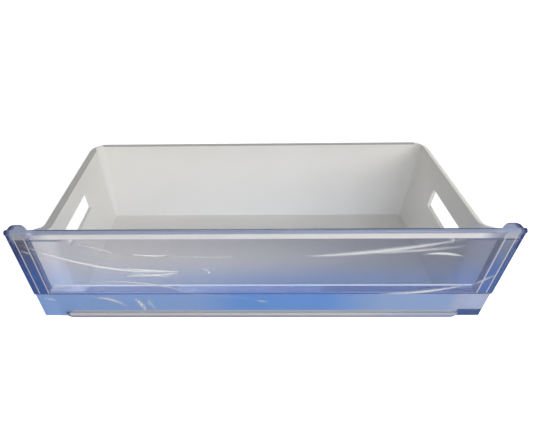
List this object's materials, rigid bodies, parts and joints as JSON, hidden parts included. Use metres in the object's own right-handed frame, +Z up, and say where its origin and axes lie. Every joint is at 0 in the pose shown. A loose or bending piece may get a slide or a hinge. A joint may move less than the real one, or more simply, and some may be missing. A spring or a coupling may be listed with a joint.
{
  "type": "fridge drawer",
  "caption": "Shallow moulded fridge drawer with side hand holes and a clear, blue-tinted front panel under a thin protective film.",
  "frame": {"origin": "under the middle of the whole drawer, on the surface that it stands on", "axes": "+X to the right along the front panel, +Y from the front panel to the rear wall, +Z up"},
  "size_m": [0.47, 0.1783, 0.1226],
  "materials": {
    "white_plastic": "satin moulded",
    "clear_blue_plastic": "clear, polished",
    "clear_film": "clear film, wrinkled"
  },
  "bodies": {
    "root": {"tub": "white_plastic", "front_panel": "clear_blue_plastic", "protective_film": "clear_film"}
  },
  "joints": []
}
